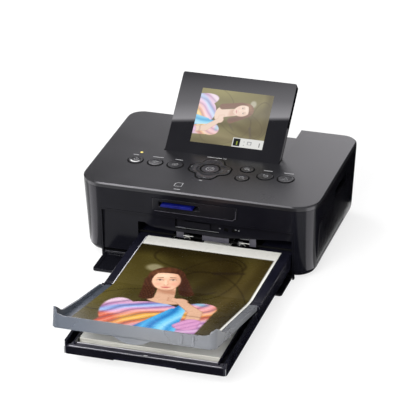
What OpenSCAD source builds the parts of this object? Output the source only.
// Compact dye-sublimation photo printer with a tilting display, a drawn-out paper cassette,
// its raised output cover and a finished print lying on it.
// X runs to the right seen from the front, Y to the back, Z up.
// The origin is on the table below the centre of the printer's body. Sizes are in millimetres.

/* [Body] */
// Width of the body at its top
body_w = 178; // [170:1:190]
// Depth of the body at its top
body_d = 127; // [122:1:135]
// Height of the body's top face above the table
body_h = 60.5; // [60:0.5:63]
// Height of the bottom above the table, which the rubber feet fill
foot_h = 2.5; // [2:0.5:4]
// How far each side wall leans in from top to bottom
wall_lean = 3.5; // [2:0.5:4]
// Thickness of the casing's walls
wall = 2.2; // [1.8:0.1:2.4]
// Plan radius of the front corners
front_corner_r = 18; // [14:1:20]
// Plan radius of the rear corners
rear_corner_r = 12; // [10:1:16]
// Radius of the rounding between the walls and the bottom
bottom_fillet = 6; // [4:0.5:7]
// Height of the top cover's visible rim
rim_h = 3.5; // [3:0.25:4]
// Thickness of the top cover's plate
plate_t = 2.2; // [1.8:0.1:2.4]
// Gap between the casing and the top cover
parting_gap = 0.2; // [0.1:0.1:0.4]
// Width of the bevel along the top edge
top_bevel = 1; // [0.6:0.1:1.4]

/* [Display] */
// Width of the display panel
lcd_w = 87.4; // [80:0.2:90]
// Length of the display panel from its hinge edge
lcd_l = 67; // [60:0.5:68]
// Thickness of the display panel
lcd_t = 6.5; // [6:0.1:6.8]
// Angle at which the display stands
lcd_tilt = 41; // [20:1:42]
// Radius of the panel's rounded hinge edge
lcd_edge_r = 2; // [1.8:0.1:2.2]
// Plan radius of the panel's corners
lcd_corner_r = 1.4; // [1:0.1:3]
// Thickness of the front window
lcd_window_t = 1.1; // [0.8:0.1:1.4]
// Width of the screen
screen_w = 55; // [52:1:57]
// Height of the screen
screen_h = 44; // [40:1:46]
// Distance of the screen from the panel's lower edge
screen_low = 11.4; // [10:0.1:12]
// Offset of the screen to the right in the display
screen_x = 1.2; // [-2:0.2:2]
// Radius of the hinge pins
lcd_pin_r = 1; // [0.8:0.05:1.1]
// Gap around the display in its recess
lcd_gap = 0.5; // [0.4:0.1:0.8]

/* [Keys] */
// Travel of each key
key_travel = 0.6; // [0.4:0.1:0.6]
// Height by which the keys stand proud
key_proud = 0.5; // [0.3:0.1:1]
// Gap around each key
key_gap = 0.4; // [0.2:0.05:0.4]
// Half the width of the ring's arms at their ends
nav_arm = 5; // [4.5:0.1:5.4]
// Radius of the round key in the middle of the ring
ok_r = 6.6; // [6:0.1:6.6]
// Distance from the ring's centre to the ends of its front and rear arms
nav_reach_y = 16; // [15:0.1:16.4]
// Distance from the ring's centre to the ends of its side arms
nav_reach_x = 15; // [14.6:0.1:15.6]

/* [Cassette] */
// Width of the paper cassette
cassette_w = 114.6; // [112:0.2:114.6]
// Height of the tray's underside above the table
tray_z = 10; // [9.8:0.1:10.4]
// Height of the tray's side walls
tray_h = 9.3; // [9.3:0.1:9.4]
// Thickness of the tray's walls and floor
tray_t = 1.8; // [1.4:0.1:2]
// Depth of the ledge at the tray's front
tray_front_t = 4; // [3:0.2:4.4]
// Height of the side walls above that ledge
tray_front_drop = 3.6; // [2:0.2:4]
// Place of the tray's front end
tray_front_y = -221; // [-223:0.5:-219]
// Thickness of the cassette's lid
lid_t = 1.4; // [1:0.1:1.5]
// Width of the sheets of paper
paper_w = 100; // [98:0.5:101]
// Length of a sheet with its tear-off strips
paper_l = 178; // [172:1:180]
// Height of the stack of paper
paper_h = 4; // [2:0.5:4.4]
// Angle at which the output cover stands
cover_tilt = 12.6; // [11:0.1:13]
// Length of the output cover from its hinge to its front lip
cover_l = 106; // [104:0.5:108]
// Height of the output cover's side walls at the hinge
cover_rear_h = 3.5; // [3:0.1:4]
// Height of the output cover's side walls at the front
cover_front_h = 12.4; // [10:0.1:13]
// Radius of the cover's front corners
cover_corner_r = 6; // [3:0.5:8]
// Thickness of the output cover's walls and floor
cover_t = 1.3; // [1:0.1:1.5]
// Thickness of the finished print
print_t = 0.3; // [0.25:0.05:0.4]

/* [Drive] */
// Radius of the rubber platen
platen_r = 4.9; // [4.5:0.1:5]
// Module of the gears
gear_module = 0.7; // [0.7:0.01:0.71]
// Radius of the pick-up roller
pickup_r = 8; // [7.5:0.1:8]
// Outer radius of the ribbon chambers
chamber_r = 8.7; // [8.4:0.1:8.8]
// Running clearance between a shaft and its bore, on the radius
run = 0.06; // [0.03:0.01:0.09]
// Radius of the platen's and the thermal head's shafts
shaft_r = 1.5; // [1.3:0.1:1.6]

/* [Hidden] */
$fn = 48;
tiny = 0.01;
through = 1;                 // how far a cutter runs past the face it opens

// Colours
shell_black = [0.07, 0.07, 0.075];
gloss_black = [0.03, 0.03, 0.035];
key_grey = [0.13, 0.13, 0.14];
steel = [0.68, 0.69, 0.71];
rubber_black = [0.09, 0.09, 0.09];
white_gear = [0.9, 0.9, 0.87];
board_green = [0.08, 0.3, 0.16];
smoke = [0.45, 0.46, 0.47];
paper_white = [0.94, 0.94, 0.92];

// The body's levels
z_part = body_h - rim_h;             // underside of the top cover's rim
z_casing_top = z_part - parting_gap;
z_plate = body_h - plate_t;          // underside of the top plate
z_floor = foot_h + wall;             // top of the casing's floor
half_w = body_w / 2;
half_d = body_d / 2;

// Inset of the walls at a height, and the outer faces there
function lean(z) = wall_lean * (z_part - z) / (z_part - foot_h);
function side_x(z) = half_w - lean(z);
function front_y(z) = -half_d + lean(z);
function rear_y(z) = half_d - lean(z);

// The mechanism's middle, and the two side plates of its chassis
mech_x = 13.2;
frame_t = 1.5;
frame_gap = 0.8;
frame_left = mech_x - cassette_w / 2 - frame_gap - frame_t;
frame_right = mech_x + cassette_w / 2 + frame_gap;
bridge_top = 44;

// The front recess, its fascia and the opening for the cassette
recess_half_w = mech_x + cassette_w / 2 + 0.7;
recess_top = 38.7;
fascia_y = -58.5;
fascia_t = 1.4;
fascia_wall = 1.2;
mouth_low = tray_z - 0.5;
mouth_left = mech_x - cassette_w / 2 - 0.7;

// The door that folds down in front of the cassette
door_half_w = recess_half_w - 0.5;
door_y = -58;
door_z = 2.6;
door_barrel_r = 1.5;
door_reach = 28.5;
door_t = 2;
door_pin_r = 0.9;

// Card slot
bezel_x = [-32, 31];
bezel_z = [44.2, 54];
card_w = 24;
card_l = 32;
card_t = 2.1;
card_x = -13.3;
card_z = 48.4;
card_front = -half_d - 2;
card_gap = 0.3;

// Ink door in the right wall
ink_y = [-46.7, 27.7];
ink_z = [9.3, 41.7];
ink_t = 2;
ink_barrel_r = 1.5;
ink_axis_z = ink_z[0] + ink_barrel_r;
ink_axis_x = side_x(ink_axis_z) - ink_barrel_r;
ink_gap = 0.3;
notch_depth = 3.6;                               // finger notch above the door
notch_top = 49;

// The display's recess and its hinge
lcd_y0 = 1.4;                                    // front wall of the recess
hinge_y = lcd_y0 + 0.3 + lcd_edge_r;
hinge_z = body_h - lcd_edge_r;
tub_z = body_h - lcd_t - 1;                      // floor of the recess
tub_t = 1.7;
tub_half_w = lcd_w / 2 + lcd_gap;

// Keys: [x, y, radius]
ok_xy = [-1.7, -20.5];
power_key = [-58.6, -20.7, 5.2];
wireless_key = [-43.5, -20.7, 5.3];
edit_key = [-28.3, -20.7, 5.5];
zoom_in_key = [24.4, -13.5, 4.7];
zoom_out_key = [24.6, -28.2, 4.7];
back_key = [39.9, -21, 5.6];
print_key = [55.3, -21.3, 5.7];
plain_keys = [power_key, wireless_key, edit_key, zoom_in_key, zoom_out_key, back_key, print_key];
led_xy = [-58.3, -7];
led_r = 1;
z_key_top = body_h + key_proud;
z_key_low = z_plate - 1.5;                       // underside of a key's flange
key_flange_t = 1;
z_board_top = z_plate - 3.1;                     // top of the key board
board_t = 1.6;
switch_h = 0.5;
z_stem = z_board_top + switch_h + key_travel + 0.05;    // a key's stem, above its switch
nav_studs = [[11.5, 0], [-11.5, 0], [0, 12.5], [0, -12.5]];

// Paper path: the height at which the paper runs between the rollers
z_path = 22.6;
platen = [-5, 17.5];
feed = [31, 20.1];
feed_r = platen_r / 2;                           // half the platen's, so it turns twice as fast
pinch = [31, 25.1];
pinch_r = 2.2;
pinch_shaft_r = 1;
pickup = [-45.5, tray_z + tray_t + 0.2 + 1 + paper_h + 0.35 + pickup_r];
pickup_x = [mech_x - 10, mech_x + 9];
eject = [-54.9, 21.6];
eject_shaft_r = 0.9;
eject_r = 1.8;
head_pivot = [6, 46];
supply = [-28, 32.3];
takeup = [18, 32.3];
supply_film_r = 6.8;
takeup_film_r = 4.6;
// Ends of the ribbon case, the right one inside the ink door
case_x = [frame_left + frame_t + 0.9, side_x(ink_z[0]) - ink_t - 3.9];
case_t = 1;

// Gears on the left plate
platen_teeth = 28;
feed_teeth = 14;
idler_teeth = 31;
pinion_teeth = 10;
gear_t = 4;
gear_x = frame_left - 1 - gear_t;
function pitch_r(teeth) = gear_module * teeth / 2;
// The point at distances rp from p and rq from q, on the upper side of the line from p to q
function meet(p, q, rp, rq) =
    let (d = norm(q - p), a = (rp * rp - rq * rq + d * d) / (2 * d), h = sqrt(rp * rp - a * a),
        u = (q - p) / d)
    p + a * u + h * [-u[1], u[0]];
idler = meet(platen, feed, pitch_r(platen_teeth) + pitch_r(idler_teeth),
    pitch_r(feed_teeth) + pitch_r(idler_teeth));
pinion_bearing = 62;                             // direction from the idler to the motor
pinion = idler + (pitch_r(idler_teeth) + pitch_r(pinion_teeth))
    * [cos(pinion_bearing), sin(pinion_bearing)];
// Angle of a tooth of gear 2 that meshes with gear 1, whose tooth stands at phase1
function bearing(p, q) = atan2(q[1] - p[1], q[0] - p[0]);
function mesh_phase(p1, phase1, z1, p2, z2) =
    let (a = bearing(p1, p2), t = (a - phase1) * z1 / 360) a + 180 - (0.5 - t) * 360 / z2;
idler_phase = mesh_phase(platen, 0, platen_teeth, idler, idler_teeth);
feed_phase = mesh_phase(idler, idler_phase, idler_teeth, feed, feed_teeth);
pinion_phase = mesh_phase(idler, idler_phase, idler_teeth, pinion, pinion_teeth);

// Motor, board and fan on the left
motor_r = 11;
motor_l = 20;
bracket_x = gear_x - 2.2;
bracket_t = 1.2;
pan_flange_z = z_floor + 0.05;
pan_flange_t = 1.5;
pan_half_w = half_w - 14;
pan_rear_y = half_d - 12;
z_pan = pan_flange_z + pan_flange_t;             // top of the bottom pan
mainboard = [[8.5 - half_w, -53], [-47, half_d - 11.5]];    // x range, y range
z_mainboard = z_pan + 2;
dc_x = mainboard[0][0] + 8;
dc_r = 2.8;
usb_x = dc_x + 13;
fan_c = [dc_x + 9.5, 36];                        // x, z
fan_size = 25;
fan_y = half_d - 13.1;
fan_depth = 8.5;

// Cassette
tray_top = tray_z + tray_h;
cassette_x = [mech_x - cassette_w / 2, mech_x + cassette_w / 2];
tray_rear_y = -20;
lid_top = tray_top + lid_t;
paper_x = [mech_x - paper_w / 2, mech_x + paper_w / 2];
paper_front = tray_front_y + 4;
lift_t = 1;
paper_z = tray_z + tray_t + 0.2 + lift_t;
cover_y = -141;                                  // hinge of the output cover
cover_z = tray_top + 0.6;
cover_pin_r = 1;
ear_r = 2.6;
tab_r = 23.6;                                    // radius and height of the cover's thumb tab
tab_drop = 3.9;
cover_arm = 6;                                   // length of the cover's narrow part at its hinge
lid_front_y = cover_y + 2;
lid_cut = [-20, 46];                             // x range of the lid's rear cut-out
lid_cut_y = fascia_y - 0.4;
print_inner_y = -60;

// ---------- helpers ----------

// A box from its lowest to its highest corner
module block(x, y, z) {
    translate([x[0], y[0], z[0]]) cube([x[1] - x[0], y[1] - y[0], z[1] - z[0]]);
}

// A round bar along X, through a point [y, z]
module bar_x(at, r, x) {
    translate([x[0], at[0], at[1]]) rotate([90, 0, 90]) cylinder(r = r, h = x[1] - x[0]);
}

// A round bar along Y, through a point [x, z]
module bar_y(at, r, y) {
    translate([at[0], y[1], at[1]]) rotate([90, 0, 0]) cylinder(r = r, h = y[1] - y[0]);
}

// An upright round bar
module bar_z(at, r, z) {
    translate([at[0], at[1], z[0]]) cylinder(r = r, h = z[1] - z[0]);
}

// A YZ outline drawn out along X
module along_x(x, points) {
    translate([x[0], 0, 0]) rotate([90, 0, 90]) linear_extrude(x[1] - x[0]) polygon(points);
}

// A rounded rectangle
module rounded(x, y, r) {
    translate([x[0], y[0] + r]) square([x[1] - x[0], y[1] - y[0] - 2 * r]);
    translate([x[0] + r, y[0]]) square([x[1] - x[0] - 2 * r, y[1] - y[0]]);
    for (px = [x[0] + r, x[1] - r], py = [y[0] + r, y[1] - r]) translate([px, py]) circle(r);
}

module rounded_block(x, y, z, r) {
    translate([0, 0, z[0]]) linear_extrude(z[1] - z[0]) rounded(x, y, r);
}

// The four corner posts of the body's outline at a height, moved in by an inset
module corner_posts(z, inset) {
    for (sx = [-1, 1]) {
        translate([sx * (half_w - front_corner_r), -half_d + front_corner_r, z])
            cylinder(r = max(front_corner_r - inset, 1), h = tiny, $fn = 32);
        translate([sx * (half_w - rear_corner_r), half_d - rear_corner_r, z])
            cylinder(r = max(rear_corner_r - inset, 1), h = tiny, $fn = 32);
    }
}

// The leaning, bottom-rounded body form, moved in on all sides by a thickness t
module body_form(t, z_low, z_high) {
    fillet = bottom_fillet - t / 2;
    hull() {
        for (a = [0 : 22.5 : 90])
            corner_posts(z_low + fillet * (1 - cos(a)),
                t + lean(z_low + fillet * (1 - cos(a))) + fillet * (1 - sin(a)));
        corner_posts(z_high - tiny, t + lean(z_high));
    }
}

// A spur gear in the XY plane with involute flanks; a tooth points along +X
function involute(rb, r) = let (a = acos(min(1, rb / r))) tan(a) - a * PI / 180;
function tooth_half_angle(teeth, r) =
    let (rp = pitch_r(teeth), rb = rp * cos(20))
    (0.45 * PI / teeth + involute(rb, rp) - involute(rb, max(r, rb))) * 180 / PI;
function tooth_side(teeth, side) =
    let (rp = pitch_r(teeth), low = rp - 1.15 * gear_module, high = rp + 0.85 * gear_module,
        radii = [low, rp * 0.97, rp, rp + 0.45 * gear_module, high])
    [for (i = [0 : 4]) let (r = radii[side < 0 ? i : 4 - i], a = side * tooth_half_angle(teeth, r))
        r * [cos(a), sin(a)]];
function turned(points, a) =
    [for (p = points) [p[0] * cos(a) - p[1] * sin(a), p[0] * sin(a) + p[1] * cos(a)]];
module gear(teeth, thick, bore) {
    linear_extrude(thick) difference() {
        polygon([for (k = [0 : teeth - 1]) each turned(
            concat(tooth_side(teeth, -1), tooth_side(teeth, 1)), k * 360 / teeth)]);
        circle(bore);
    }
}

module gear_at(at, phase, teeth, bore) {
    translate([gear_x, at[0], at[1]]) rotate([90, 0, 90]) rotate(phase) gear(teeth, gear_t, bore);
}

// ---------- casing ----------

module casing() {
    color(shell_black) difference() {
        union() {
            difference() {
                body_form(0, foot_h, z_casing_top);
                body_form(wall, z_floor, z_casing_top + 2 * tiny);
            }
            intersection() {
                body_form(0, foot_h, z_casing_top);
                casing_bosses();
            }
        }
        casing_cuts();
    }
}

// Blocks inside the wall: two for the ink door's pins, one behind the finger notch
module casing_bosses() {
    x_in = side_x(ink_z[0]) - 5;
    for (y = [[ink_y[0] - ink_gap - 2.5, ink_y[0] - ink_gap],
              [ink_y[1] + ink_gap, ink_y[1] + ink_gap + 2.5]])
        block([x_in, half_w], y, [ink_z[0] - 1.4, ink_axis_z + 2.6]);
    finger_notch(1.4);
}

module finger_notch(grow) {
    block([side_x(ink_z[1]) - notch_depth - grow, half_w + through], [-5 - grow, 26.6 + grow],
        [ink_z[1] + ink_gap - tiny, notch_top + grow]);
}

module casing_cuts() {
    // front recess and card bezel
    block([-recess_half_w - fascia_wall - 0.2, recess_half_w + fascia_wall + 0.2],
        [-half_d - through, fascia_y + 5], [0, recess_top + fascia_wall + 0.2]);
    block([bezel_x[0] - 0.2, bezel_x[1] + 0.2], [-half_d - through, fascia_y + 3],
        [bezel_z[0] - 0.2, bezel_z[1] + 0.2]);
    // ink door, its pins and the finger notch
    block([ink_axis_x - 4, half_w + through], [ink_y[0] - ink_gap, ink_y[1] + ink_gap],
        [ink_z[0] - ink_gap, ink_z[1] + ink_gap]);
    bar_y([ink_axis_x, ink_axis_z], door_pin_r + run, [ink_y[0] - 2.2, ink_y[1] + 2.2]);
    finger_notch(0);
    // rear: display recess, paper slot, sockets and fan grille
    block([-tub_half_w - tub_t - 0.3, tub_half_w + tub_t + 0.3], [half_d - 8, half_d + through],
        [tub_z - tub_t - 0.2, body_h]);
    block([mech_x - 53, mech_x + 53], [half_d - 8, half_d + through], [20, 27]);
    bar_y([dc_x, z_mainboard + board_t + 5.2], dc_r + 1.6, [half_d - 8, half_d + through]);
    block([usb_x - 6.3, usb_x + 6.3], [half_d - 8, half_d + through],
        [z_mainboard + board_t - 0.2, z_mainboard + board_t + 11.4]);
    for (k = [-4 : 4])
        block([fan_c[0] + k * 2.6 - 0.7, fan_c[0] + k * 2.6 + 0.7], [half_d - 8, half_d + through],
            [fan_c[1] - sqrt(144 - 5 * k * k), fan_c[1] + sqrt(144 - 5 * k * k)]);
    // bottom: opening for the pan, screw holes
    block([-62, 62], [-36, 36], [0, z_floor + tiny]);
    at_screws() {
        bar_z([0, 0], 1.6, [0, z_floor + through]);
        bar_z([0, 0], 3.2, [0, foot_h + 1.2]);
    }
}

module at_screws() {
    for (x = [-57, 57], y = [-43, 43]) translate([x, y, 0]) children();
}

module at_board_posts() {
    for (x = [mainboard[0][0] + 8.5, mainboard[0][1] - 4], y = [mainboard[1][0] + 6, mainboard[1][1] - 12])
        translate([x, y, 0]) children();
}

module bottom_pan() {
    color(shell_black) difference() {
        union() {
            block([-61.7, 61.7], [-35.7, 35.7], [foot_h, pan_flange_z + tiny]);
            rounded_block([-pan_half_w, pan_half_w], [fascia_y + 6, pan_rear_y], [pan_flange_z, z_pan], 5);
            // runners that carry the cassette
            for (x = [cassette_x[0] + 1, cassette_x[1] - 7])
                block([x, x + 6], [fascia_y + 6, tray_rear_y + 2], [z_pan - tiny, tray_z - 0.3]);
            at_screws() bar_z([0, 0], 3, [z_pan - tiny, z_pan + 1.8]);
            // stand-offs of the main board
            at_board_posts() bar_z([0, 0], 2.5, [z_pan - tiny, z_mainboard]);
        }
        at_screws() bar_z([0, 0], 1.2 + run, [pan_flange_z - through, z_pan + 2]);
    }
}

module casing_screws() {
    color(steel) at_screws() {
        difference() {
            bar_z([0, 0], 2.8, [foot_h + 0.3, foot_h + 1.2]);
            translate([0, 0, foot_h]) cylinder(r = 1.2, h = 0.8, $fn = 6);
        }
        bar_z([0, 0], 1.2, [foot_h + 1.2 - tiny, z_pan + 1.6]);
    }
}

module rubber_feet() {
    color(rubber_black) for (x = [18 - half_w, half_w - 18], y = [-45, 46]) {
        bar_z([x, y], 6, [0.6, foot_h]);
        bar_z([x, y], 5.4, [0, 0.6 + tiny]);
    }
}

// ---------- top cover, its recess and the keys ----------

module top_cover() {
    color(gloss_black) difference() {
        union() {
            hull() {
                corner_posts(z_part, 0);
                corner_posts(body_h - top_bevel, 0);
                corner_posts(body_h - tiny, top_bevel);
            }
            // locating lip inside the casing
            lip_walls([z_part - 1.6, z_part + tiny]);
            // walls and floor of the display's recess, hinge cheeks
            block([-tub_half_w - tub_t, tub_half_w + tub_t], [lcd_y0 - tub_t, half_d - 0.4],
                [tub_z - tub_t, z_part + tiny]);
            for (s = [-1, 1])
                block([min(s * tub_half_w, s * (tub_half_w + 4)), max(s * tub_half_w, s * (tub_half_w + 4))],
                    [hinge_y - 3.6, hinge_y + 3.6], [hinge_z - 3, z_part + tiny]);
        }
        top_hollow();
        block([-tub_half_w, tub_half_w], [lcd_y0, half_d + through], [tub_z, body_h + through]);
        bar_x([hinge_y, hinge_z], lcd_pin_r + run, [-tub_half_w - 2.6, tub_half_w + 2.6]);
        for (k = plain_keys) bar_z(k, k[2] + key_gap, [z_part, body_h + through]);
        translate([ok_xy[0], ok_xy[1], z_part]) nav_outline(key_gap + 0.05, rim_h + through);
        bar_z(led_xy, led_r + 0.05, [z_part, body_h + through]);
    }
}

// The space under the top plate, left and right of the recess and in front of it
module top_hollow() {
    inset = wall + 2;
    z = [z_part - through, z_plate];
    rounded_block([-half_w + inset, half_w - inset], [-half_d + inset, lcd_y0 - tub_t], z, 4);
    for (s = [-1, 1])
        rounded_block(s < 0 ? [-half_w + inset, -tub_half_w - 4 - tiny] : [tub_half_w + 4 + tiny, half_w - inset],
            [lcd_y0 - tub_t - 9, half_d - inset], z, 4);
}

module lip_walls(z) {
    for (s = [-1, 1]) {
        x = s * (half_w - wall - 0.9);
        block([x - 0.6, x + 0.6], [-half_d + front_corner_r, half_d - rear_corner_r], z);
    }
    block([-half_w + front_corner_r, bezel_x[0] - 3], [-half_d + wall + 0.3, -half_d + wall + 1.5], z);
    block([bezel_x[1] + 3, half_w - front_corner_r], [-half_d + wall + 0.3, -half_d + wall + 1.5], z);
}

module status_led() {
    color([0.85, 0.68, 0.12]) {
        bar_z(led_xy, led_r, [z_plate - 0.6, body_h + 0.15]);
        bar_z(led_xy, led_r - 0.5, [z_board_top, z_plate - 0.6 + tiny]);
    }
}

// A round key: cap through the plate, flange and stem below it
module key(k, colour) {
    color(colour) {
        bar_z(k, k[2], [z_key_low, z_key_top - 0.35]);
        bar_z(k, k[2] - 0.35, [z_key_top - 0.35 - tiny, z_key_top]);
        bar_z(k, k[2] + 1, [z_key_low, z_key_low + key_flange_t]);
        bar_z(k, 1.5, [z_stem, z_key_low + tiny]);
    }
}

module power_button() key(power_key, [0.55, 0.56, 0.57]);
module wireless_button() key(wireless_key, key_grey);
module edit_button() key(edit_key, key_grey);
module zoom_in_button() key(zoom_in_key, key_grey);
module zoom_out_button() key(zoom_out_key, key_grey);
module back_button() key(back_key, key_grey);
module print_button() key(print_key, key_grey);

// The round key in the ring, with a stem through the carrier to its switch
module ok_button() {
    color(key_grey) {
        bar_z(ok_xy, ok_r, [z_plate - 0.7, z_key_top]);
        bar_z(ok_xy, 3, [z_stem, z_plate - 0.7 + tiny]);
    }
}

// Cross-shaped outline of the navigation ring with cut corners, grown outwards
module nav_outline(grow, height) {
    quarter = [[nav_reach_x + grow, nav_arm - 1.4 + grow / 2], [nav_reach_x - 1.8 + grow * 0.9, nav_arm + 1.4 + grow * 0.9],
        [ok_r + 1.6 + grow * 0.7, ok_r + 2.2 + grow * 0.7], [nav_arm + 1.6 + grow * 0.9, nav_reach_y - 2.2 + grow * 0.9],
        [nav_arm - 0.4 + grow / 2, nav_reach_y + grow]];
    last = len(quarter) - 1;
    linear_extrude(height) polygon(concat(quarter, [for (k = [last:-1:0]) [-quarter[k][0], quarter[k][1]]],
        [for (p = quarter) -p], [for (k = [last:-1:0]) [quarter[k][0], -quarter[k][1]]]));
}

module nav_ring() {
    color(key_grey) translate([ok_xy[0], ok_xy[1], 0]) difference() {
        union() {
            translate([0, 0, z_plate - 1.4]) nav_outline(0, z_key_top - z_plate + 1.4);
            translate([0, 0, z_plate - 1.4]) nav_outline(0.9, 0.6);
            for (d = nav_studs) bar_z(d, 1.2, [z_plate - 2.1, z_plate - 1.4 + tiny]);
        }
        bar_z([0, 0], ok_r + 0.4, [z_plate - 3, body_h + 3]);
    }
}

// Carrier disc below the ring: it tips to the front and back, and the ring tips sideways on it
module nav_carrier() {
    color(white_gear) difference() {
        bar_z(ok_xy, 9, [z_plate - 2.2, z_plate - 1.7]);
        bar_z(ok_xy, 3.6, [z_plate - 3, z_plate - 1]);
    }
}

module key_board() {
    color(board_green) difference() {
        block([-66, 64], [-40, lcd_y0 - tub_t - 2], [z_board_top - board_t, z_board_top]);
        for (x = [-63.5, 61.5], y = [-37.5, -5.5]) bar_z([x, y], 1.4, [z_board_top - 3, z_board_top + 1]);
    }
    color(gloss_black) for (x = [-63.5, 61.5], y = [-37.5, -5.5])
        bar_z([x, y], 1.3, [z_board_top - board_t - 0.6, z_plate]);
}

module tact_switches() {
    color(steel) {
        for (k = plain_keys) switch_body(k);
        switch_body(ok_xy);
        for (d = nav_studs) switch_body(ok_xy + d);
    }
}

module switch_body(at) {
    block([at[0] - 2.2, at[0] + 2.2], [at[1] - 2.2, at[1] + 2.2], [z_board_top, z_board_top + switch_h - 0.2]);
    bar_z(at, 1.2, [z_board_top + switch_h - 0.2 - tiny, z_board_top + switch_h]);
}

// ---------- display ----------

module at_display() {
    translate([0, hinge_y, hinge_z]) rotate([lcd_tilt, 0, 0]) children();
}

lcd_end = lcd_l - lcd_edge_r;                    // far end, measured from the hinge axis
lcd_low = lcd_edge_r - lcd_t;                    // underside, measured from the hinge axis
lcd_mid = -1.2;                                  // joint between back cover and frame
lcd_x = [-lcd_w / 2, lcd_w / 2];

module lcd_plate(z, inset) {
    rounded_block([lcd_x[0] + inset, lcd_x[1] - inset], [inset, lcd_end - inset], z, lcd_corner_r - inset / 2);
}

// Room for the hinge pins in the plates above them
module pin_room() {
    bar_x([0, 0], lcd_pin_r + 0.02, [lcd_x[0] - 1, lcd_x[1] + 1]);
}

module lcd_window() {
    color(gloss_black) at_display() difference() {
        lcd_plate([lcd_edge_r - lcd_window_t, lcd_edge_r], 0);
        pin_room();
    }
}

module lcd_frame() {
    color(gloss_black) at_display() difference() {
        lcd_plate([lcd_mid, lcd_edge_r - lcd_window_t], 0);
        block([screen_x - screen_w / 2 - 2.3, screen_x + screen_w / 2 + 2.3],
            [screen_low - lcd_edge_r - 2.3, screen_low - lcd_edge_r + screen_h + 2.3], [lcd_mid - 1, lcd_edge_r]);
        pin_room();
    }
}

module lcd_module() {
    color([0.5, 0.42, 0.3]) at_display() {
        block([screen_x - screen_w / 2 - 2, screen_x + screen_w / 2 + 2],
            [screen_low - lcd_edge_r - 2, screen_low - lcd_edge_r + screen_h + 2], [lcd_low + 1.2, lcd_mid + 1.6]);
        block([screen_x - screen_w / 2, screen_x + screen_w / 2],
            [screen_low - lcd_edge_r, screen_low - lcd_edge_r + screen_h], [lcd_mid + 1.5, lcd_edge_r - lcd_window_t]);
    }
}

module lcd_back_cover() {
    color(shell_black) at_display() {
        difference() {
            union() {
                lcd_plate([lcd_low + 0.8, lcd_mid], 0);
                lcd_plate([lcd_low, lcd_low + 0.8 + tiny], 0.8);
                bar_x([0, 0], lcd_edge_r, [lcd_x[0] + lcd_corner_r + 0.5, lcd_x[1] - lcd_corner_r - 0.5]);
            }
            lcd_plate([lcd_low + 1.2, lcd_mid + tiny], 1.8);
            // room for the window and frame above the barrel
            block([lcd_x[0], lcd_x[1]], [0, lcd_end], [lcd_mid, lcd_edge_r + 1]);
        }
        bar_x([0, 0], lcd_pin_r, [lcd_x[0] - 2, lcd_x[0] + lcd_corner_r + 1]);
        bar_x([0, 0], lcd_pin_r, [lcd_x[1] - lcd_corner_r - 1, lcd_x[1] + 2]);
    }
}

// ---------- front ----------

module front_fascia() {
    x_out = recess_half_w + fascia_wall;
    latch_z = [29, 36.8];
    color(shell_black) difference() {
        union() {
            block([-x_out, x_out], [fascia_y, fascia_y + fascia_t], [6, recess_top + fascia_wall]);
            // walls of the recess, flush with the leaning front
            intersection() {
                union() {
                    for (s = [-1, 1])
                        block([min(s * recess_half_w, s * x_out), max(s * recess_half_w, s * x_out)],
                            [-half_d, fascia_y + tiny], [6, recess_top + fascia_wall]);
                    block([-x_out, x_out], [-half_d, fascia_y + tiny], [recess_top, recess_top + fascia_wall]);
                }
                along_x([-half_w, half_w], [[front_y(0), 0], [front_y(50), 50], [0, 50], [0, 0]]);
            }
            // ears for the door's pins
            for (s = [-1, 1])
                block([min(s * recess_half_w, s * x_out), max(s * recess_half_w, s * x_out)],
                    [door_y - 2, fascia_y + fascia_t], [door_z - 1.8, 6 + tiny]);
            // pocket behind the latch notch
            block([-18, 17.4], [fascia_y, fascia_y + 3.6], [latch_z[0] - 1, latch_z[1] + 1]);
        }
        translate([0, fascia_y + fascia_t + tiny, 0]) rotate([90, 0, 0])
            linear_extrude(fascia_t + 4) mouth_outline();
        block([-16.6, 16], [fascia_y - 1, fascia_y + 2.6], latch_z);
        for (x = [20, 26]) block([x, x + 3.4], [fascia_y - 1, fascia_y + 0.8], [32, 34.4]);
        bar_x([door_y, door_z], door_pin_r + run, [-x_out - 1, x_out + 1]);
    }
    color([0.4, 0.41, 0.42]) {
        block([-10, 9.4], [fascia_y + 0.4, fascia_y + 2.7], [latch_z[0] + 2, latch_z[1] - 1.4]);
        block([-16.6, 16], [fascia_y + 0.2, fascia_y + 1.1], [latch_z[0] - tiny, latch_z[0] + 0.9]);
    }
}

// The opening for the cassette and the print, higher at both ends
module mouth_outline() {
    polygon([[mouth_left, mouth_low], [recess_half_w, mouth_low], [recess_half_w, 30.7], [67, 30.7],
        [mech_x + 10, 26.7], [mech_x - 30, 26.7], [-35.6, 28.1], [-40, 30.8], [mouth_left, 30.8]]);
}

module card_slot_bezel() {
    color(gloss_black) difference() {
        intersection() {
            block(bezel_x, [-half_d - 0.6, fascia_y + 2], bezel_z);
            along_x(bezel_x, [[front_y(0) - 0.5, 0], [front_y(60) - 0.5, 60], [0, 60], [0, 0]]);
        }
        block([card_x - card_w / 2 - 1.9, card_x + card_w / 2 + 4.3], [-half_d - 2, fascia_y + 3],
            [card_z - 0.8, card_z + card_t + 0.8]);
    }
}

module card_reader() {
    x = [card_x - card_w / 2 - 3, card_x + card_w / 2 + 3];
    y = [fascia_y + 2, card_front + card_l + 6];
    color(steel) difference() {
        block(x, y, [card_z - 1.6, card_z + card_t + 1.2]);
        block([card_x - card_w / 2 - card_gap, card_x + card_w / 2 + card_gap],
            [y[0] - 1, card_front + card_l + 1.2], [card_z - card_gap, card_z + card_t + card_gap]);
    }
    color(board_green) block([x[0] - 2, x[1] + 14], [y[0] + 2, y[1] + 3], [card_z - 3, card_z - 1.6]);
    // posts down to the bridge of the chassis
    color(shell_black) for (px = [x[0] + 2, x[1] - 2])
        block([px - 1, px + 1], [y[1] - 4, y[1] - 2], [bridge_top, card_z - 3 + tiny]);
}

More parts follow.
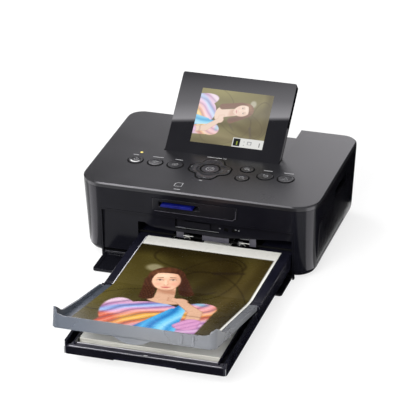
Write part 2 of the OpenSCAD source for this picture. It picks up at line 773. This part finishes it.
module memory_card() {
    x = [card_x - card_w / 2, card_x + card_w / 2];
    cut = 4;                                     // corner cut at the inner end
    color([0.05, 0.2, 0.62]) difference() {
        union() {
            translate([0, 0, card_z]) linear_extrude(card_t - 0.7) polygon([[x[0], card_front],
                [x[1], card_front], [x[1], card_front + card_l], [x[0] + cut, card_front + card_l],
                [x[0], card_front + card_l - cut]]);
            block([x[0] + 1, x[1] - 1], [card_front, card_front + card_l - 8], [card_z + 1, card_z + card_t]);
        }
        block([x[0] + 3, x[1] - 3], [card_front + 3, card_front + card_l - 11],
            [card_z + card_t - 0.2, card_z + card_t + 1]);
    }
}

module cassette_door() {
    z = [door_z - 1.8, door_z - 1.8 + door_t];
    y_end = door_y - door_reach;
    color(shell_black) {
        difference() {
            union() {
                rounded_block([-door_half_w, door_half_w], [y_end, door_y], z, 2);
                block([-door_half_w, door_half_w], [door_y - 6, door_y], z);
                bar_x([door_y, door_z], door_barrel_r, [-door_half_w, door_half_w]);
            }
            // shallow panel on the inner face
            block([-door_half_w + 3, door_half_w - 3], [y_end + 3, door_y - 4], [z[1] - 0.5, z[1] + 1]);
        }
        // catch at the free edge
        block([-6, 6], [y_end + 0.6, y_end + 2], [z[1] - tiny, z[1] + 1.6]);
        for (s = [-1, 1]) bar_x([door_y, door_z], door_pin_r,
            s < 0 ? [-door_half_w - 1.5, -door_half_w + 1] : [door_half_w - 1, door_half_w + 1.5]);
    }
}

module ink_door() {
    z = [ink_axis_z, ink_z[1]];
    color(shell_black) {
        translate([0, ink_y[1], 0]) rotate([90, 0, 0]) linear_extrude(ink_y[1] - ink_y[0])
            polygon([[side_x(z[0]), z[0]], [side_x(z[1]), z[1]], [side_x(z[1]) - ink_t, z[1]],
                [side_x(z[0]) - ink_t, z[0]]]);
        bar_y([ink_axis_x, ink_axis_z], ink_barrel_r, ink_y);
        bar_y([ink_axis_x, ink_axis_z], door_pin_r, [ink_y[0] - 1.8, ink_y[1] + 1.8]);
        // catch and stiffening ribs inside
        for (y = [ink_y[0] + 12, ink_y[1] - 12])
            block([side_x(z[1]) - ink_t - 1.4, side_x(z[1]) - ink_t + 0.4], [y - 4, y + 4], [z[1] - 3, z[1] - 1.6]);
    }
}

// ---------- chassis and drive ----------

module plate_outline() {
    difference() {
        polygon([[-54, z_pan], [44, z_pan], [44, 36], [36, 50], [-8, 50], [-20, bridge_top],
            [-56.8, bridge_top], [-56.8, 10]]);
        // window for the ribbon case
        polygon([[-38.5, 22.8], [28.2, 22.8], [28.2, 42.6], [-38.5, 42.6]]);
        for (b = [[platen, shaft_r + 0.5], [feed, shaft_r], [pinch, pinch_shaft_r], [pickup, shaft_r],
                  [eject, eject_shaft_r]])
            translate(b[0]) circle(b[1] + run);
    }
}

module chassis_frame() {
    color(steel) {
        for (x = [frame_left, frame_right])
            translate([x, 0, 0]) rotate([90, 0, 90]) linear_extrude(frame_t) plate_outline();
        // foot flanges on the pan, clear of the platen's gear
        for (y = [[fascia_y + 6, -20], [12, 43]])
            block([frame_left - 3.4, frame_left + tiny], y, [z_pan, z_pan + 1.2]);
        // bridges between the plates
        block([frame_left + frame_t - tiny, frame_right + tiny], [-38, -26], [bridge_top - 1.2, bridge_top]);
        block([frame_left + frame_t - tiny, frame_right + tiny], [36, 43.9], [34.5, 35.9]);
        block([frame_left + frame_t - tiny, frame_right + tiny], [22, 38], [z_pan, z_pan + 1.2]);
        bar_x(head_pivot, shaft_r, [frame_left + frame_t - tiny, frame_right + tiny]);
        // posts of the idler gear and of the motor's bracket
        bar_x(idler, shaft_r, [gear_x - 0.6, frame_left + tiny]);
        for (p = [[pinion[0] + 13, pinion[1]], [pinion[0] - 13, pinion[1] + 8]])
            bar_x(p, 2, [bracket_x, frame_left + tiny]);
    }
    color(steel) difference() {
        translate([bracket_x, 0, 0]) rotate([90, 0, 90]) linear_extrude(bracket_t)
            rounded([pinion[0] - 16, pinion[0] + 16], [pinion[1] - 11, pinion[1] + 12], 3);
        bar_x(pinion, 2.6, [bracket_x - 1, bracket_x + bracket_t + 1]);
    }
}

module drive_motor() {
    x = [bracket_x - motor_l, bracket_x];
    color(steel) difference() {
        union() {
            bar_x(pinion, motor_r, x);
            bar_x(pinion, 2.5, [x[1] - tiny, x[1] + bracket_t + 0.3]);
        }
        bar_x(pinion, 1 + run, [x[1] - 8, x[1] + 3]);
    }
    color(shell_black) bar_x(pinion, motor_r - 3, [x[0] - 1.2, x[0] + tiny]);
}

module motor_pinion() {
    color([0.8, 0.65, 0.3]) gear_at(pinion, pinion_phase, pinion_teeth, 1);
    color(steel) bar_x(pinion, 1 - tiny / 2, [bracket_x - 7, gear_x + gear_t]);
}

module platen_roller() {
    color(rubber_black) bar_x(platen, platen_r, [paper_x[0] - 2, paper_x[1] + 2]);
    color(steel) bar_x(platen, shaft_r + 0.5, [gear_x - 0.5, frame_right + frame_t + 1]);
}

module platen_gear() {
    color(white_gear) gear_at(platen, 0, platen_teeth, shaft_r + 0.5);
}

module feed_roller() {
    color(steel) {
        bar_x(feed, feed_r, [paper_x[0] - 2, paper_x[1] + 2]);
        bar_x(feed, shaft_r, [gear_x - 0.5, frame_right + frame_t + 1]);
    }
}

module feed_gear() {
    color(white_gear) gear_at(feed, feed_phase, feed_teeth, shaft_r);
}

module idler_gear() {
    color(white_gear) gear_at(idler, idler_phase, idler_teeth, shaft_r + run);
}

module pinch_roller() {
    color([0.25, 0.25, 0.26]) bar_x(pinch, pinch_r, [paper_x[0] - 2, paper_x[1] + 2]);
    color(steel) bar_x(pinch, pinch_shaft_r, [frame_left - 0.6, frame_right + frame_t + 0.6]);
}

module pickup_roller() {
    color([0.3, 0.3, 0.31]) bar_x(pickup, pickup_r, pickup_x);
    color(steel) bar_x(pickup, shaft_r, [frame_left - 0.8, frame_right + frame_t + 0.8]);
}

module eject_rollers() {
    color([0.25, 0.25, 0.26]) for (x = [mech_x - 22, mech_x + 18]) bar_x(eject, eject_r, [x - 1.5, x + 1.5]);
    color(steel) bar_x(eject, eject_shaft_r, [frame_left - 0.6, frame_right + frame_t + 0.6]);
}

// Fixed guides: the finger blocks behind the mouth, and the bed in front of the feed roller
module paper_guides() {
    color([0.55, 0.56, 0.57]) {
        block([frame_left + frame_t, frame_right], [-53.4, -50], [34.6, 36.4]);
        for (x = [mech_x - 30.3, mech_x + 24.4])
            block([x, x + 4.4], [-53.4, -51.6], [lid_top + 0.4, 34.6 + tiny]);
    }
    color([0.88, 0.88, 0.86]) for (x = [mech_x - 24.2, mech_x + 17])
        block([x, x + 7], [-53.4, -52], [24.2, 34.6 + tiny]);
    color(shell_black) block([frame_left + frame_t, frame_right], [0.8, 27.6], [20.4, 21.9]);
}

// ---------- thermal head ----------

head_x = [mech_x - 52, mech_x + 52];
head_arm_t = 2;

module head_element() {
    color([0.85, 0.82, 0.74]) {
        block([head_x[0] + 1, head_x[1] - 1], [-10, 0], [z_path + 0.7, z_path + 1.6]);
        block([head_x[0] + 1, head_x[1] - 1], [-6, -4], [z_path + 0.4, z_path + 0.7 + tiny]);
    }
}

module heat_sink() {
    z = [z_path + 1.6, z_path + 8.5];
    color([0.75, 0.76, 0.78]) difference() {
        block(head_x, [-13, 4], z);
        for (y = [-11.4 : 2.8 : 1.5]) block([head_x[0] - 1, head_x[1] + 1], [y, y + 1.4], [z[0] + 3, z[1] + 1]);
    }
}

module head_arms() {
    for (x = [head_x[0] - head_arm_t, head_x[1]])
        color(steel) difference() {
            translate([x, 0, 0]) rotate([90, 0, 90]) linear_extrude(head_arm_t) {
                polygon([[-13, z_path + 1.6], [4, z_path + 1.6], [4, z_path + 6], [head_pivot[0] + 4, head_pivot[1]],
                    [head_pivot[0] - 4, head_pivot[1]], [-13, z_path + 8.5]]);
                translate(head_pivot) circle(4);
            }
            bar_x(head_pivot, shaft_r + run, [x - 1, x + head_arm_t + 1]);
        }
}

// ---------- ribbon cartridge ----------

module ribbon_case() {
    color(shell_black) difference() {
        union() {
            for (c = [supply, takeup]) bar_x(c, chamber_r, case_x);
            block([case_x[0], case_x[0] + 2], [supply[0], takeup[0]], [supply[1] - 4, supply[1] + 4.5]);
            block([head_x[1] + head_arm_t + 2.4, case_x[1]], [supply[0], takeup[0]],
                [supply[1] - 7.5, supply[1] + 8]);
        }
        for (c = [supply, takeup]) {
            bar_x(c, chamber_r - case_t, [case_x[0] + 2, case_x[1] - 2]);
            bar_x(c, shaft_r + run, [case_x[0] - 1, case_x[1] + 1]);
        }
        // slots for the film
        block([head_x[0], head_x[1]], [supply[0] - 1, supply[0] + 9], [z_path - 1, supply[1] - 4.5]);
        block([head_x[0], head_x[1]], [takeup[0] - 9, takeup[0] + 1], [z_path - 1, takeup[1] - 3.6]);
        // hollow of the grip end
        block([head_x[1] + head_arm_t + 4, case_x[1] - 2], [supply[0] + 10, takeup[0] - 10],
            [supply[1] - 5.5, supply[1] + 9]);
    }
}

film_y = [supply[0], -10.6, 0.6, takeup[0]];
film_z = [supply[1] - supply_film_r - 0.55, z_path + 0.1, z_path + 0.1, takeup[1] - takeup_film_r - 0.55];
film_t = 0.2;

module ribbon_film() {
    color([0.5, 0.12, 0.35]) along_x([head_x[0] + 1.5, head_x[1] - 1.5],
        concat([for (i = [0 : 3]) [film_y[i], film_z[i]]], [for (i = [3 : -1 : 0]) [film_y[i], film_z[i] + film_t]]));
}

module spool(at, film_r, colour) {
    color(colour) bar_x(at, film_r, [head_x[0] + 1.5, head_x[1] - 1.5]);
    color(white_gear) {
        bar_x(at, 3.2, [case_x[0] + 2.3, case_x[1] - 2.3]);
        bar_x(at, shaft_r, [case_x[0] - 0.8, case_x[1] + 0.4]);
    }
}

module supply_spool() spool(supply, supply_film_r, [0.85, 0.7, 0.1]);
module takeup_spool() spool(takeup, takeup_film_r, [0.45, 0.1, 0.3]);

// ---------- electronics and sockets ----------

module main_board() {
    color(board_green) difference() {
        block(mainboard[0], mainboard[1], [z_mainboard, z_mainboard + board_t]);
        at_board_posts() bar_z([0, 0], 1.3, [z_mainboard - 1, z_mainboard + 3]);
    }
}

module board_components() {
    z = z_mainboard + board_t;
    left = mainboard[0][0];
    right = mainboard[0][1];
    color([0.12, 0.12, 0.13]) {
        block([left + 4.5, right - 7], [-16, 0], [z, z + 1.4]);
        block([left + 2.5, left + 10.5], [-34, -24], [z, z + 1.2]);
        block([right - 11, right - 1], [-36, -27], [z, z + 1.2]);
    }
    color([0.9, 0.9, 0.85]) for (y = [-46, 6]) block([left + 0.5, left + 14.5], [y, y + 4], [z, z + 5]);
    color([0.2, 0.22, 0.5])
        for (p = [[right - 4, 38], [right - 4, -43], [left + 4, 24]]) bar_z(p, 3.5, [z, z + 9]);
}

module dc_jack() {
    z = z_mainboard + board_t;
    color(shell_black) difference() {
        union() {
            block([dc_x - 4.5, dc_x + 4.5], [rear_y(15) - 14, rear_y(15) - 2.6], [z, z + 10.4]);
            bar_y([dc_x, z + 5.2], dc_r + 1.3, [rear_y(15) - 2.7, rear_y(15) - 0.6]);
        }
        bar_y([dc_x, z + 5.2], dc_r, [rear_y(15) - 11, half_d + 1]);
    }
}

module usb_ports() {
    z = z_mainboard + board_t;
    y = [rear_y(15) - 15, rear_y(15) - 0.8];
    color(steel) difference() {
        block([usb_x - 6, usb_x + 6], y, [z, z + 11]);
        block([usb_x - 4.4, usb_x + 4.4], [y[1] - 9, y[1] + 1], [z + 1.4, z + 9.4]);
    }
    color(shell_black) block([usb_x - 2.6, usb_x + 2.6], [y[1] - 9 - tiny, y[1] - 1.4], [z + 3.6, z + 6.6]);
}

module fan_housing() {
    h = fan_size / 2;
    color(shell_black) difference() {
        union() {
            difference() {
                block([fan_c[0] - h, fan_c[0] + h], [fan_y, fan_y + fan_depth], [fan_c[1] - h, fan_c[1] + h]);
                bar_y(fan_c, h - 1, [fan_y - 1, fan_y + fan_depth + 1]);
            }
            bar_y(fan_c, 3.6, [fan_y, fan_y + 1.4]);
            for (a = [45 : 90 : 315]) translate([fan_c[0], fan_y, fan_c[1]]) rotate([0, a, 0])
                block([2, h - 0.5], [0, 1.2], [-0.8, 0.8]);
            // leg down to the main board, between the two sockets
            block([dc_x + 4.8, usb_x - 6.3], [fan_y, fan_y + 2], [z_mainboard + board_t, fan_c[1] - h + tiny]);
        }
        bar_y(fan_c, 1 + run, [fan_y - 1, fan_y + 3]);
    }
}

module fan_rotor() {
    color([0.2, 0.2, 0.21]) {
        bar_y(fan_c, 4, [fan_y + 2, fan_y + fan_depth - 1]);
        bar_y(fan_c, 1, [fan_y + 0.2, fan_y + 2.1]);
        for (k = [0 : 6]) translate([fan_c[0], fan_y + 4.4, fan_c[1]]) rotate([0, k * 360 / 7, 0])
            rotate([35, 0, 0]) block([3, fan_size / 2 - 2], [-0.4, 0.4], [-2.4, 2.4]);
    }
}

// ---------- cassette, print and output cover ----------

module cassette_tray() {
    inner_x = [cassette_x[0] + tray_t, cassette_x[1] - tray_t];
    ear_x = [[cassette_x[0], inner_x[0]], [inner_x[1], cassette_x[1]]];
    color(gloss_black) difference() {
        union() {
            difference() {
                rounded_block(cassette_x, [tray_front_y, tray_rear_y], [tray_z, tray_top], 2.5);
                block(inner_x, [tray_front_y + tray_front_t, tray_rear_y - tray_t], [tray_z + tray_t, tray_top + 1]);
                // the front is a low ledge between the side walls
                block(inner_x, [tray_front_y - 1, tray_front_y + tray_front_t + 1],
                    [tray_top - tray_front_drop, tray_top + 1]);
            }
            // inner guides that hold the sheets in the middle
            for (x = [[paper_x[0] - 1.6, paper_x[0] - 0.4], [paper_x[1] + 0.4, paper_x[1] + 1.6]])
                block(x, [paper_front, tray_rear_y - tray_t - 2], [tray_z + tray_t - tiny, tray_top - 1.2]);
            // ears of the cover's hinge
            for (x = ear_x) {
                bar_x([cover_y, cover_z], ear_r, x);
                block(x, [cover_y - ear_r, cover_y + ear_r], [tray_top - 2, cover_z]);
            }
        }
        for (x = ear_x) bar_x([cover_y, cover_z], cover_pin_r + run, [x[0] - 1, x[1] + 1]);
        // dip in the rear wall that passes below the pick-up roller
        block([pickup_x[0] - 1.5, pickup_x[1] + 1.5], [tray_rear_y - tray_t - 1, tray_rear_y + 1],
            [pickup[1] - pickup_r - 0.45, tray_top + 1]);
        // grip groove below the front wall
        block([mech_x - 22, mech_x + 22], [tray_front_y - 1, tray_front_y + 1], [tray_z - 1, tray_z + 2.4]);
    }
}

module cassette_lid() {
    color(gloss_black) difference() {
        union() {
            block(cassette_x, [lid_front_y, tray_rear_y], [tray_top, lid_top]);
            // raised rails at both sides of the print
            for (x = [[cassette_x[0] + 0.6, paper_x[0] - 1], [paper_x[1] + 1, cassette_x[1] - 0.6]])
                block(x, [lid_front_y + 4, fascia_y - 3], [lid_top - tiny, lid_top + 0.8]);
        }
        block(lid_cut, [lid_cut_y, tray_rear_y + 1], [tray_top - 1, lid_top + 1]);
        // room for the ears
        for (x = [cassette_x[0] - 1, cassette_x[1] - tray_t - 0.3])
            block([x, x + tray_t + 1.3], [lid_front_y - 1, cover_y + ear_r + 0.4], [tray_top - 1, lid_top + 1]);
    }
}

module paper_lift_plate() {
    color(steel) difference() {
        block([paper_x[0] + 4, paper_x[1] - 4], [paper_front + 60, tray_rear_y - 12],
            [tray_z + tray_t + 0.2, paper_z]);
        block([mech_x - 12, mech_x + 12], [tray_rear_y - 22, tray_rear_y - 16], [tray_z, paper_z + 1]);
    }
    color(steel) for (x = [mech_x - 30, mech_x + 30])
        block([x - 4, x + 4], [tray_rear_y - 40, tray_rear_y - 30], [tray_z + tray_t, tray_z + tray_t + 0.3]);
}

module paper_stack() {
    color(paper_white) block(paper_x, [paper_front + 1, paper_front + 1 + paper_l], [paper_z, paper_z + paper_h]);
}

// A point of the output cover: l along it from the hinge, n square to it
function on_cover(l, n) =
    [cover_y - l * cos(cover_tilt) + n * sin(cover_tilt), cover_z + l * sin(cover_tilt) + n * cos(cover_tilt)];

cover_floor = 0.4;                               // underside of the cover's floor
print_lie = cover_floor + cover_t + 0.15;

module printed_photo() {
    level = cover_y + 7;
    flat_part = print_inner_y - level;
    sloped = paper_l - flat_part - 9.2;
    low = [[print_inner_y, lid_top + 0.2], [level, lid_top + 0.2], on_cover(2, print_lie), on_cover(sloped, print_lie)];
    high = [on_cover(sloped, print_lie + print_t), on_cover(2, print_lie + print_t),
        [level, lid_top + 0.2 + print_t], [print_inner_y, lid_top + 0.2 + print_t]];
    color([0.75, 0.6, 0.4]) along_x(paper_x, concat(low, high));
}

module at_cover() {
    translate([0, cover_y, cover_z]) rotate([-cover_tilt, 0, 0]) children();
}

module output_cover() {
    x = [cassette_x[0] + 0.2, cassette_x[1] - 0.2];
    inner_x = [x[0] + cover_t, x[1] - cover_t];
    arm_x = [cassette_x[0] + tray_t + 0.3, cassette_x[1] - tray_t - 0.3];
    front = -cover_l - cover_t;
    lip_z = cover_front_h - 3.7;
    color(smoke) at_cover() {
        // floor and walls, the low side walls swinging up to horns at the bowed front
        difference() {
            intersection() {
                rounded_block(x, [front, cover_corner_r], [0, cover_front_h + 2], cover_corner_r);
                along_x(x, [[front + 0.5, 0], [-cover_arm, 0], [-cover_arm, cover_rear_h],
                    [-cover_l / 2, cover_rear_h + 1], [-cover_l + 22, lip_z - 2.5], [-cover_l + 16, lip_z - 1],
                    [-cover_l + 9, cover_front_h - 1.2], [-cover_l + 3.6, cover_front_h + 1],
                    [front + 1.4, cover_front_h - 0.6], [front, cover_front_h - 3], [front, 1.4]]);
            }
            rounded_block(inner_x, [-cover_l, cover_corner_r + 2],
                [cover_floor + cover_t, cover_front_h + 3], cover_corner_r - cover_t);
            block(inner_x, [-cover_l, cover_corner_r], [-1, cover_floor]);
            // the front wall is lower between its raised ends
            translate([0, -cover_l + cover_corner_r, 0]) rotate([90, 0, 0]) linear_extrude(2 * cover_corner_r)
                polygon([[x[0] + 2, cover_front_h + 3], [x[0] + 4.5, lip_z + 1.2], [x[0] + 9, lip_z], [x[1] - 9, lip_z],
                    [x[1] - 4.5, lip_z + 1.2], [x[1] - 2, cover_front_h + 3]]);
        }
        // narrow part at the hinge
        block(arm_x, [-cover_arm - tiny, 0], [cover_floor, cover_floor + cover_t]);
        bar_x([0, 0], 1.5, arm_x);
        // thumb tab, a piece of a disc below the front wall, and two ribs
        intersection() {
            bar_y([mech_x, tab_r - tab_drop], tab_r, [front, -cover_l]);
            block([mech_x - tab_r, mech_x + tab_r], [front, -cover_l], [-tab_drop - 1, tiny]);
        }
        for (px = [mech_x + 34, mech_x + 42])
            block([px, px + 1], [front - 0.5, front + tiny], [1.5, lip_z - 1.1]);
    }
    color(smoke) at_cover() {
        bar_x([0, 0], cover_pin_r, [arm_x[0] - 1.8, arm_x[0] + 1]);
        bar_x([0, 0], cover_pin_r, [arm_x[1] - 1, arm_x[1] + 1.8]);
    }
}

// ---------- what is drawn ----------

casing();
top_cover();
bottom_pan();
front_fascia();
card_slot_bezel();
status_led();
rubber_feet();
casing_screws();
key_board();
tact_switches();
card_reader();
main_board();
board_components();
dc_jack();
usb_ports();
fan_housing();
fan_rotor();
chassis_frame();
drive_motor();
motor_pinion();
platen_roller();
platen_gear();
feed_roller();
feed_gear();
idler_gear();
pinch_roller();
pickup_roller();
eject_rollers();
paper_guides();
head_element();
heat_sink();
head_arms();
ribbon_case();
ribbon_film();
supply_spool();
takeup_spool();
lcd_window();
lcd_frame();
lcd_module();
lcd_back_cover();
power_button();
wireless_button();
edit_button();
zoom_in_button();
zoom_out_button();
back_button();
print_button();
ok_button();
nav_carrier();
nav_ring();
memory_card();
cassette_door();
ink_door();
cassette_tray();
cassette_lid();
paper_lift_plate();
paper_stack();
printed_photo();
output_cover();
